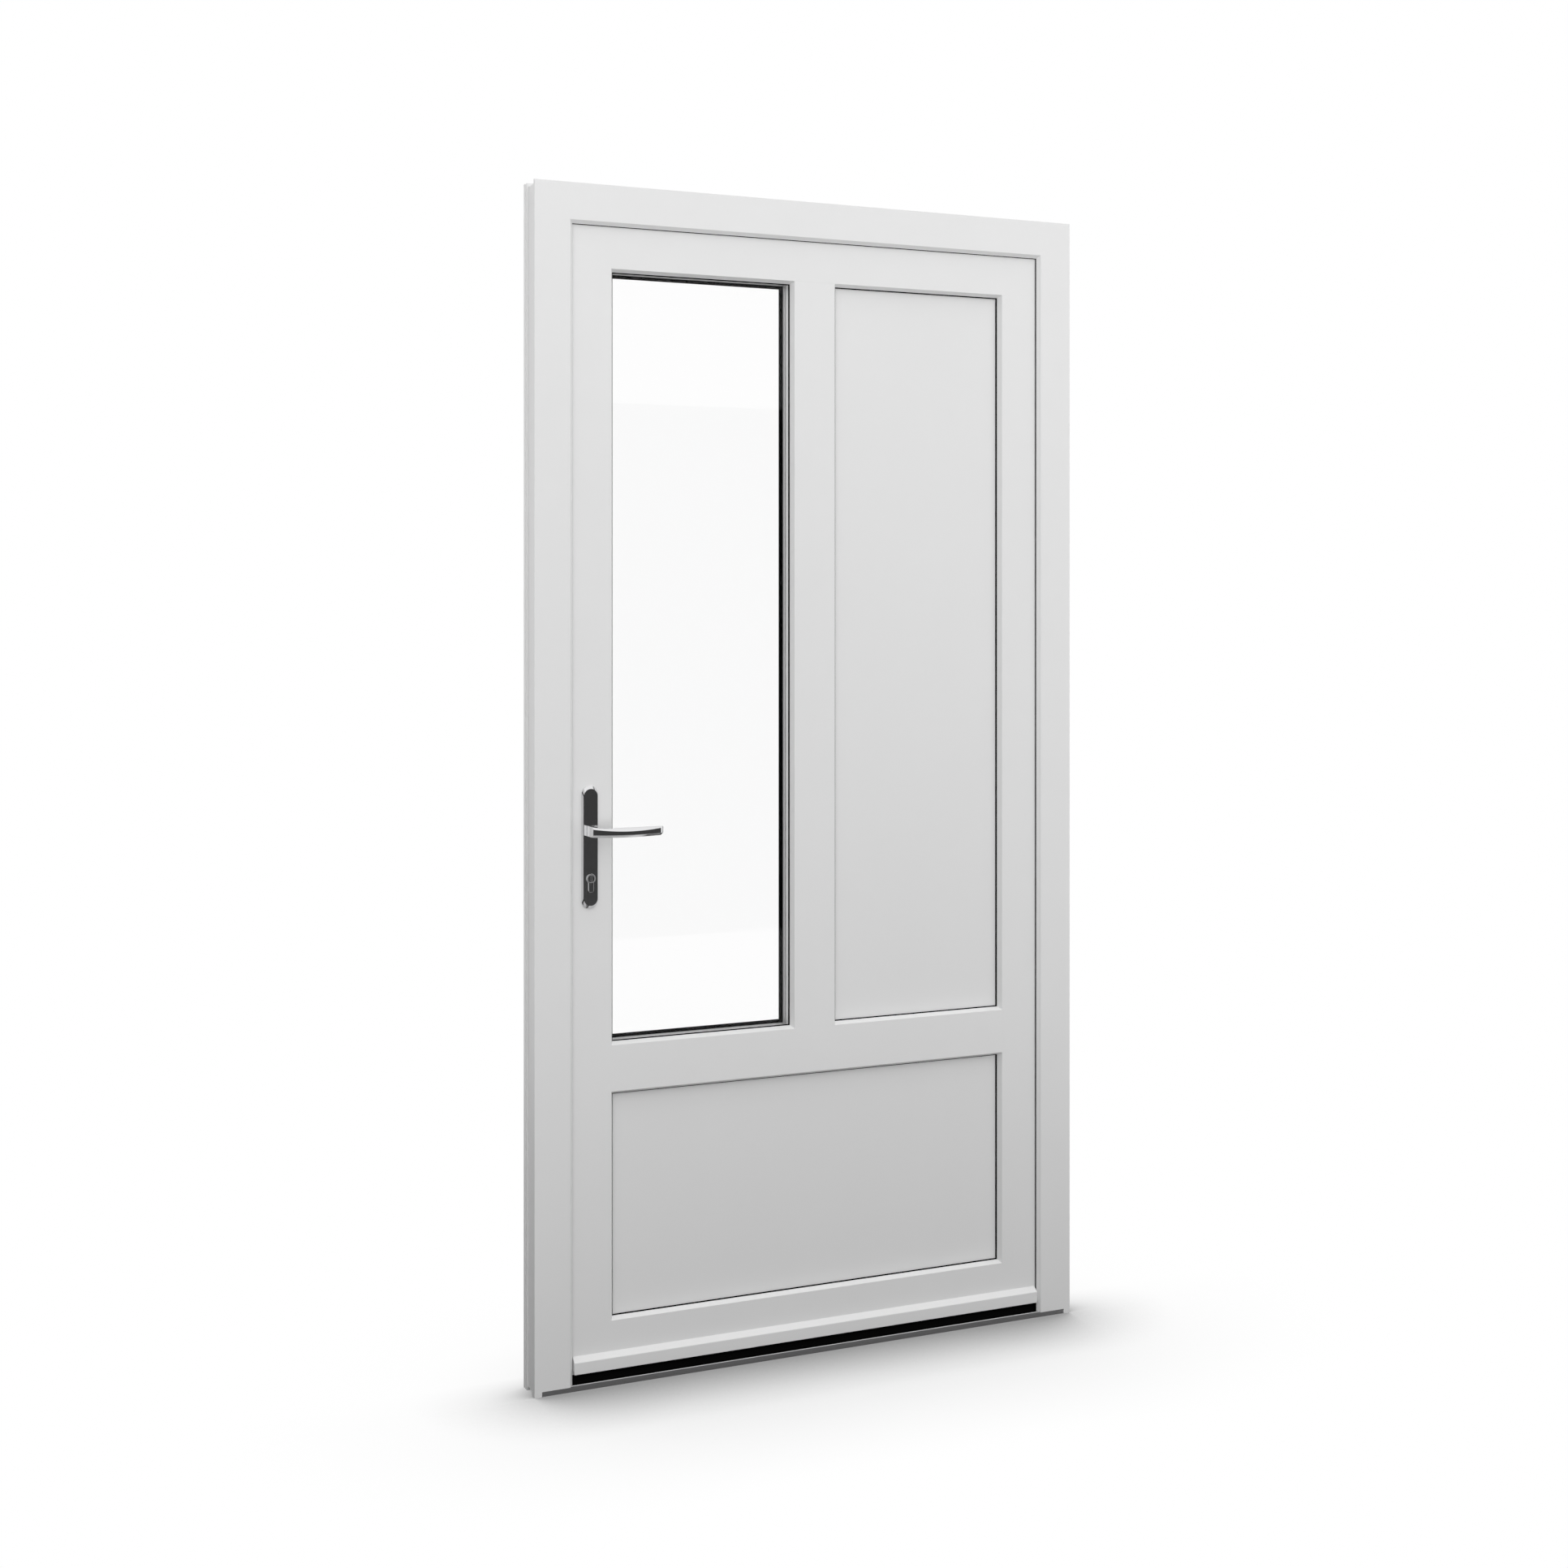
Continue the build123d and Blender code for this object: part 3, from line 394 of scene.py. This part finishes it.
# Share of an edge's faces that are joint faces, below which it has none.
NO_JOINT = 0.01
edge_marks, given = new_tree(
    "edges_to_round",
    [
        ("Joint Axis", "NodeSocketVector", (0.0, 0.0, 0.0)),
        ("Least Angle", "NodeSocketFloat", LEAST_ANGLE),
        ("Curved", "NodeSocketBool", False),
    ],
)
normal = add(edge_marks, "GeometryNodeInputNormal").outputs[0]
toward = vector_maths(edge_marks, "DOT_PRODUCT", "Value", normal, given["Joint Axis"])
at_joint = maths(edge_marks, "GREATER_THAN", maths(edge_marks, "ABSOLUTE", toward), JOINT_LEAN)
beside = add(edge_marks, "GeometryNodeFieldOnDomain", {0: at_joint}, domain="FACE", data_type="FLOAT")
free = maths(edge_marks, "LESS_THAN", beside.outputs[0], NO_JOINT)
turn = add(edge_marks, "GeometryNodeInputMeshEdgeAngle").outputs["Unsigned Angle"]
sharp = maths(edge_marks, "GREATER_THAN", turn, given["Least Angle"])
weight = maths(edge_marks, "MULTIPLY", sharp, free)
marked = add(
    edge_marks,
    "GeometryNodeStoreNamedAttribute",
    {"Geometry": given["Geometry"], "Name": "bevel_weight_edge", "Value": weight},
    data_type="FLOAT",
    domain="EDGE",
)
smooth = add(
    edge_marks,
    "GeometryNodeSetShadeSmooth",
    {"Geometry": marked.outputs[0], "Shade Smooth": given["Curved"]},
    domain="FACE",
)
crisp = add(
    edge_marks,
    "GeometryNodeSetShadeSmooth",
    {"Geometry": smooth.outputs[0], "Selection": sharp, "Shade Smooth": False},
    domain="EDGE",
)
add(edge_marks, "NodeGroupOutput", {0: crisp.outputs[0]})
print(edge_marks.name, len(edge_marks.nodes), "nodes")

# %% [markdown]
# ## Rounding the solids
# Each solid's triangles are first joined into whole faces, then the group marks its edges and a bevel follows
# the marks. Bars and plates stay flat between their edges. Curved metal is shaded smooth, and its rounded
# edges take their shading from the faces beside them.

# %% Rounding the solids
WELD_WITHIN = 0.001 * MM
FLAT_WITHIN = math.radians(0.05)
ROUNDING_STEPS = 2


def round_edges(name, radius_mm, joint_axis=(0.0, 0.0, 0.0), curved=False):
    """Rounds a solid's marked edges, not those at a joint on the axis. Curved solids are shaded smooth."""
    solid = nodes[name]
    solid.modifiers.new("joined_triangles", "WELD").merge_threshold = WELD_WITHIN
    flat = solid.modifiers.new("whole_faces", "DECIMATE")
    flat.decimate_type = "DISSOLVE"
    flat.angle_limit = FLAT_WITHIN
    put_nodes(solid, edge_marks, {"Joint Axis": joint_axis, "Curved": curved})
    bevel = solid.modifiers.new("rounded_edges", "BEVEL")
    bevel.limit_method = "WEIGHT"
    bevel.width = radius_mm * MM
    bevel.segments = ROUNDING_STEPS
    bevel.harden_normals = curved
    bevel.use_clamp_overlap = False


PROFILE_RADIUS = 0.4
UPRIGHT_BARS = ["frame_jamb_left", "frame_jamb_right", "stile_left", "stile_right", "mullion"]
UPRIGHT_BARS += ["jamb_foot_left", "jamb_foot_right"]
for name in UPRIGHT_BARS:
    round_edges(name, PROFILE_RADIUS, (0.0, 0.0, 1.0))
for name in WELDED_LEVEL_BARS:
    round_edges(name, PROFILE_RADIUS, (1.0, 0.0, 0.0))
free_radius = {
    "weather_bar": 1.0,
    "bead_glass": 0.6,
    "panel_upper_bead": 0.6,
    "panel_lower_bead": 0.6,
    "threshold_lip": 0.4,
    "threshold_inner_rail": 0.6,
    "strike_plate": 0.3,
    "lock_faceplate": 0.3,
}
curved_radius = {
    "lever_outside": 0.4,
    "lever_inside": 0.4,
    "lock_cylinder": 0.5,
    "plug_outside": 0.3,
    "hinge_frame_parts": 0.5,
    "hinge_leaf_parts": 0.5,
}
for name, radius in free_radius.items():
    round_edges(name, radius)
for name, radius in curved_radius.items():
    round_edges(name, radius, curved=True)
welded_count = len(UPRIGHT_BARS) + len(WELDED_LEVEL_BARS)
print(welded_count + len(free_radius) + len(curved_radius), "solids with rounded edges")

# %% [markdown]
# ## Screws
# The keep, the lock's strip, the hinges and the inside handle plate are each held by screws with a cross
# recess. One node group makes the head and sets it wherever a point says, facing as that point says and
# turned at random, because nobody lines up the slots.

# %% Geometry nodes that set the screws
SCREW_SEED = 11
HEAD_SIDES = 24
HEAD_TAPER = 0.82
RECESS_MIDDLE = 0.7 * MM
screw_tree, given = new_tree(
    "cross_head_screws",
    [
        ("Head Radius", "NodeSocketFloat", 3.5 * MM),
        ("Head Height", "NodeSocketFloat", 0.9 * MM),
        ("Recess Width", "NodeSocketFloat", 0.9 * MM),
        ("Recess Length", "NodeSocketFloat", 4.2 * MM),
        ("Seed", "NodeSocketInt", SCREW_SEED),
        ("Material", "NodeSocketMaterial", lock_steel),
    ],
)
head = add(
    screw_tree,
    "GeometryNodeMeshCone",
    {
        "Vertices": HEAD_SIDES,
        "Radius Top": maths(screw_tree, "MULTIPLY", given["Head Radius"], HEAD_TAPER),
        "Radius Bottom": given["Head Radius"],
        "Depth": given["Head Height"],
    },
)
crossed = head
for long_side, short_side in (("X", "Y"), ("Y", "X")):
    sides = {long_side: given["Recess Length"], short_side: given["Recess Width"], "Z": given["Head Height"]}
    size = add(screw_tree, "ShaderNodeCombineXYZ", sides)
    bar = add(screw_tree, "GeometryNodeMeshCube", {"Size": size.outputs[0]})
    raised = {"Geometry": bar.outputs[0], "Translation": (0.0, 0.0, RECESS_MIDDLE)}
    cutter = add(screw_tree, "GeometryNodeTransform", raised)
    cut = {"Mesh 1": crossed.outputs[0], "Mesh 2": cutter.outputs[0]}
    crossed = add(screw_tree, "GeometryNodeMeshBoolean", cut, operation="DIFFERENCE")
facing = add(screw_tree, "GeometryNodeInputNamedAttribute", {"Name": "facing"}, data_type="FLOAT_VECTOR")
upright = add(screw_tree, "FunctionNodeAlignRotationToVector", {"Vector": facing.outputs[0]}, axis="Z")
# A random number has its least and its greatest value at inputs 2 and 3 and its result at output 1.
half_turn = {2: 0.0, 3: math.pi, "Seed": given["Seed"]}
spin = add(screw_tree, "FunctionNodeRandomValue", half_turn, data_type="FLOAT")
about_own_axis = {"Axis": (0.0, 0.0, 1.0), "Angle": spin.outputs[1]}
about = add(screw_tree, "FunctionNodeAxisAngleToRotation", about_own_axis)
turned = add(
    screw_tree,
    "FunctionNodeRotateRotation",
    {"Rotation": upright.outputs[0], "Rotate By": about.outputs[0]},
    rotation_space="LOCAL",
)
heads = add(
    screw_tree,
    "GeometryNodeInstanceOnPoints",
    {"Points": given["Geometry"], "Instance": crossed.outputs[0], "Rotation": turned.outputs[0]},
)
real = add(screw_tree, "GeometryNodeRealizeInstances", {"Geometry": heads.outputs[0]})
steel = {"Geometry": real.outputs[0], "Material": given["Material"]}
finished = add(screw_tree, "GeometryNodeSetMaterial", steel)
add(screw_tree, "NodeGroupOutput", {0: finished.outputs[0]})
print(screw_tree.name, len(screw_tree.nodes), "nodes")

# %% [markdown]
# ## Where the screws go
# Every place is measured from the box of a solid, so the heads stay on their metal, and the heads sink in by
# a fraction of a millimetre. Those of the keep and the lock's strip look sideways, into the gap beside the
# leaf, and those of the hinges and the plate look into the room.

# %% Screws of the frame
SINK = 0.2 * MM
TO_THE_LEFT, TO_THE_RIGHT, INTO_THE_ROOM = (-1.0, 0.0, 0.0), (1.0, 0.0, 0.0), (0.0, 1.0, 0.0)
KEEP_SCREWS = (-106.0, 4.0, 106.0)
HINGE_HEIGHTS = (230.0, 1060.0, 1890.0)
HINGE_SCREWS = (-44.0, -15.0, 15.0, 44.0)
HINGE_PLATE = 4.0
HINGE_FRAME_SCREW_INSET = 13.5


def middle(name, axis):
    """Middle of a solid along one axis."""
    low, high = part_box(name)
    return (low[axis] + high[axis]) / 2


def hinge_screws(x, y):
    """One row of screws down each hinge."""
    return [((x, y, (height + z) * MM), INTO_THE_ROOM) for height in HINGE_HEIGHTS for z in HINGE_SCREWS]


keep_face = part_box("strike_plate")[1][0]
frame_screws = [
    ((keep_face - SINK, middle("strike_plate", 1), middle("strike_plate", 2) + z * MM), TO_THE_RIGHT)
    for z in KEEP_SCREWS
]
plate_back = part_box("frame_jamb_right")[1][1] + HINGE_PLATE * MM
frame_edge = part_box("frame_jamb_right")[1][0]
frame_screws += hinge_screws(frame_edge - HINGE_FRAME_SCREW_INSET * MM, plate_back - SINK)
print(len(frame_screws), "screws in the frame")

# %% Screws of the leaf
STRIP_SCREW_SPACING = 300.0
STRIP_END_INSET = 20.0
HINGE_LEAF_SCREW_INSET = 10.0
PLATE_SCREWS = (-88.0, 88.0)
strip_low, strip_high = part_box("lock_faceplate")
strip_gaps = int((strip_high[2] - strip_low[2]) / (STRIP_SCREW_SPACING * MM))
strip_ends = (strip_low[2] + STRIP_END_INSET * MM, strip_high[2] - STRIP_END_INSET * MM)
leaf_screws = []
for index in range(strip_gaps + 1):
    z = strip_ends[0] + (strip_ends[1] - strip_ends[0]) * index / strip_gaps
    leaf_screws.append(((strip_low[0] + SINK, middle("lock_faceplate", 1), z), TO_THE_LEFT))
leaf_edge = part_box("hinge_leaf_parts")[0][0]
flag_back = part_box("stile_right")[1][1] + HINGE_PLATE * MM
leaf_screws += hinge_screws(leaf_edge + HINGE_LEAF_SCREW_INSET * MM, flag_back - SINK)
plate_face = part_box("handle_plate_inside")[1][1]
for z in PLATE_SCREWS:
    height = middle("handle_plate_inside", 2) + z * MM
    leaf_screws.append(((middle("handle_plate_inside", 0), plate_face - SINK, height), INTO_THE_ROOM))
print(len(leaf_screws), "screws in the leaf")

# %% [markdown]
# ## Setting the screws
# The places become points with a facing, the node group sets a head on each, and the result is kept as a
# plain mesh. There is one piece of screws for the frame and one for the leaf, so each stays with what it
# holds.


# %% Setting the screws
def set_screws(name, places, body):
    """Plain mesh of all the screws that move with one body."""
    mesh = bpy.data.meshes.new(name + "_places")
    mesh.from_pydata([place for place, _ in places], [], [])
    directions = mesh.attributes.new("facing", "FLOAT_VECTOR", "POINT")
    for index, (_, direction) in enumerate(places):
        directions.data[index].vector = direction
    piece = bpy.data.objects.new(name, mesh)
    bpy.context.scene.collection.objects.link(piece)
    put_nodes(piece, screw_tree, {"Seed": SCREW_SEED, "Material": lock_steel})
    evaluated = piece.evaluated_get(bpy.context.evaluated_depsgraph_get())
    plain = bpy.data.meshes.new_from_object(evaluated)
    piece.modifiers.clear()
    piece.data = plain
    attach(piece, body)
    print(name, len(plain.polygons), "faces on", body)


set_screws("frame_screws", frame_screws, "frame")
set_screws("leaf_screws", leaf_screws, "leaf")

# %% [markdown]
# ## Studio
# The door stands on a pale sheet in a soft dome of light, and there is no lamp, so no hard shadow. What the
# camera sees of the sheet is white, with a soft dark edge of shade where the door stands.

# %% Floor
FLOOR_SIZE = 40.0
half = FLOOR_SIZE / 2
floor_corners = [(-half, -half, 0), (half, -half, 0), (half, half, 0), (-half, half, 0)]
floor_mesh = bpy.data.meshes.new("studio_floor")
floor_mesh.from_pydata(floor_corners, [], [(0, 1, 2, 3)])
floor = bpy.data.objects.new("studio_floor", floor_mesh)
bpy.context.scene.collection.objects.link(floor)
print(floor.name, FLOOR_SIZE, "m")

# %% [markdown]
# ## Shade on the sheet
# The shade is darkest where little of the sky is open: a wide, faint one and a short, deep one at the contact
# are multiplied. In front of the door it has its full strength. Across the door's depth it fades, and behind
# the door only a small share of it is left, as in the picture.

# %% Shade on the sheet
WIDE_REACH, WIDE_DEPTH = 0.55, 0.5
CONTACT_REACH, CONTACT_DEPTH = 0.22, 1.4
SHADE_SAMPLES = 16
SHADE_FULL_Y, SHADE_FADED_Y = -0.04, 0.08
SHADE_BEHIND = 0.15
floor_sheet, tree = new_material("floor_sheet")
place = object_place(tree)
shades = []
for reach, depth in ((WIDE_REACH, WIDE_DEPTH), (CONTACT_REACH, CONTACT_DEPTH)):
    openness = add(tree, "ShaderNodeAmbientOcclusion", {"Distance": reach}, samples=SHADE_SAMPLES)
    shades.append(maths(tree, "POWER", openness.outputs["AO"], depth))
full_shade = maths(tree, "MULTIPLY", *shades)
across = add(tree, "ShaderNodeSeparateXYZ", {"Vector": place})
strength = add(
    tree,
    "ShaderNodeMapRange",
    {
        "Value": across.outputs["Y"],
        "From Min": SHADE_FULL_Y,
        "From Max": SHADE_FADED_Y,
        "To Min": 1.0,
        "To Max": SHADE_BEHIND,
    },
)
ends = {"Factor": strength.outputs[0], NUMBER_A: 1.0, NUMBER_B: full_shade}
shade = add(tree, "ShaderNodeMix", ends, data_type="FLOAT").outputs[0]
print("shade reaches", WIDE_REACH, "m and is deepest within", CONTACT_REACH, "m")

# %% [markdown]
# ## What the sheet shows and what it sends back
# To the eye the sheet is white with its shade. To the light that it sends back to the door it is dark grey
# near the door and white further off, so the foot of the door is darker than its head, as in the picture.
# Mirrored in metal or glass it is grey near the door too, but paler.

# %% Sheet for the eye, for mirrors and for the door
DARK_RADIUS, BRIGHT_RADIUS = 1.4, 3.8
spread = add(
    tree,
    "ShaderNodeMapRange",
    {
        "Value": vector_maths(tree, "LENGTH", "Value", place),
        "From Min": DARK_RADIUS,
        "From Max": BRIGHT_RADIUS,
    },
    interpolation_type="SMOOTHSTEP",
).outputs[0]
seen = add(tree, "ShaderNodeEmission", {"Color": linear("#FFFFFF"), "Strength": shade})
bounce = add(tree, "ShaderNodeBsdfDiffuse", {"Color": colour_between(tree, spread, "#444444", "#FAFAFA")})
gleam = colour_between(tree, spread, "#8C8C8C", "#FAFAFA")
mirrored = add(tree, "ShaderNodeEmission", {"Color": gleam, "Strength": shade})
ray = add(tree, "ShaderNodeLightPath").outputs
lit = shader_between(tree, ray["Is Diffuse Ray"], seen.outputs[0], bounce.outputs[0])
cover(tree, shader_between(tree, ray["Is Glossy Ray"], lit, mirrored.outputs[0]))
# The white is only there to be looked at. Sampled as a lamp it would light the door's foot unevenly.
floor_sheet.cycles.emission_sampling = "NONE"
floor.data.materials.append(floor_sheet)
print(floor_sheet.name, "dark to", DARK_RADIUS, "m and bright from", BRIGHT_RADIUS, "m")

# %% [markdown]
# ## Sky
# The dome is brightest in front of the door and overhead, weaker behind the door, and dark to its left and
# right. Its level is a sum of the three, each weighed by the square of how far the ray looks that way. The
# camera, mirrors and glass see plain white instead.

# %% Sky
FRONT_LEVEL, BACK_LEVEL, SIDE_LEVEL, TOP_LEVEL = 1.46, 0.90, 0.0, 1.48
world = bpy.data.worlds.new("studio")
bpy.context.scene.world = world
world.use_nodes = True
tree = world.node_tree
tree.nodes.clear()
heading = add(tree, "ShaderNodeTexCoord").outputs["Generated"]
squares = vector_maths(tree, "MULTIPLY", "Vector", heading, heading)
parts = add(tree, "ShaderNodeSeparateXYZ", {"Vector": heading}).outputs
behind = maths(tree, "GREATER_THAN", parts["Y"], 0.0)
depth_level = value_between(tree, behind, FRONT_LEVEL, BACK_LEVEL)
levels = add(tree, "ShaderNodeCombineXYZ", {"X": SIDE_LEVEL, "Y": depth_level, "Z": TOP_LEVEL})
level = vector_maths(tree, "DOT_PRODUCT", "Value", squares, levels.outputs["Vector"])
dome = add(tree, "ShaderNodeBackground", {"Color": linear("#FFFFFF"), "Strength": level})
white = add(tree, "ShaderNodeBackground", {"Color": linear("#FFFFFF"), "Strength": 1.0})
ray = add(tree, "ShaderNodeLightPath").outputs
shown = maths(tree, "MAXIMUM", ray["Is Camera Ray"], ray["Is Glossy Ray"])
shown = maths(tree, "MAXIMUM", shown, ray["Is Transmission Ray"])
sky = shader_between(tree, shown, dome.outputs[0], white.outputs[0])
add(tree, "ShaderNodeOutputWorld", {"Surface": sky})
print("sky levels", FRONT_LEVEL, BACK_LEVEL, SIDE_LEVEL, TOP_LEVEL)

# %% [markdown]
# ## Dark card
# Polished metal on white would show nothing but white. A dark card stands on the camera's side, where only
# mirrors see it, and gives the handle and its plate the dark faces of the picture. It casts no shadow and
# sends the door no light.

# %% Dark card beside the camera
CARD_LEFT, CARD_RIGHT, CARD_AWAY = -0.6, 3.0, -4.6
CARD_FOOT, CARD_HEIGHT = 0.02, 2.2
card_mesh = bpy.data.meshes.new("dark_card")
corners = [(CARD_LEFT, CARD_FOOT), (CARD_RIGHT, CARD_FOOT)]
corners += [(CARD_RIGHT, CARD_HEIGHT), (CARD_LEFT, CARD_HEIGHT)]
card_mesh.from_pydata([(x, CARD_AWAY, z) for x, z in corners], [], [(3, 2, 1, 0)])
card = bpy.data.objects.new("dark_card", card_mesh)
bpy.context.scene.collection.objects.link(card)
card.visible_camera = False
card.visible_diffuse = False
card.visible_transmission = False
card.visible_shadow = False
card_cloth, tree = new_material("dark_card_cloth")
cover(tree, add(tree, "ShaderNodeEmission", {"Color": linear("#3E3E3E"), "Strength": 1.0}).outputs[0])
# Its grey is an emission so that it stays the same under any light, but it isn't a lamp either.
card_cloth.cycles.emission_sampling = "NONE"
card.data.materials.append(card_cloth)
print("card", round(CARD_RIGHT - CARD_LEFT, 1), "m wide, up to", CARD_HEIGHT, "m")

# %% [markdown]
# ## Colours as written
# The Standard view shows a colour as it is written, which suits a studio picture on white.

# %% View transform
bpy.context.scene.view_settings.view_transform = "Standard"
print("view", bpy.context.scene.view_settings.view_transform)
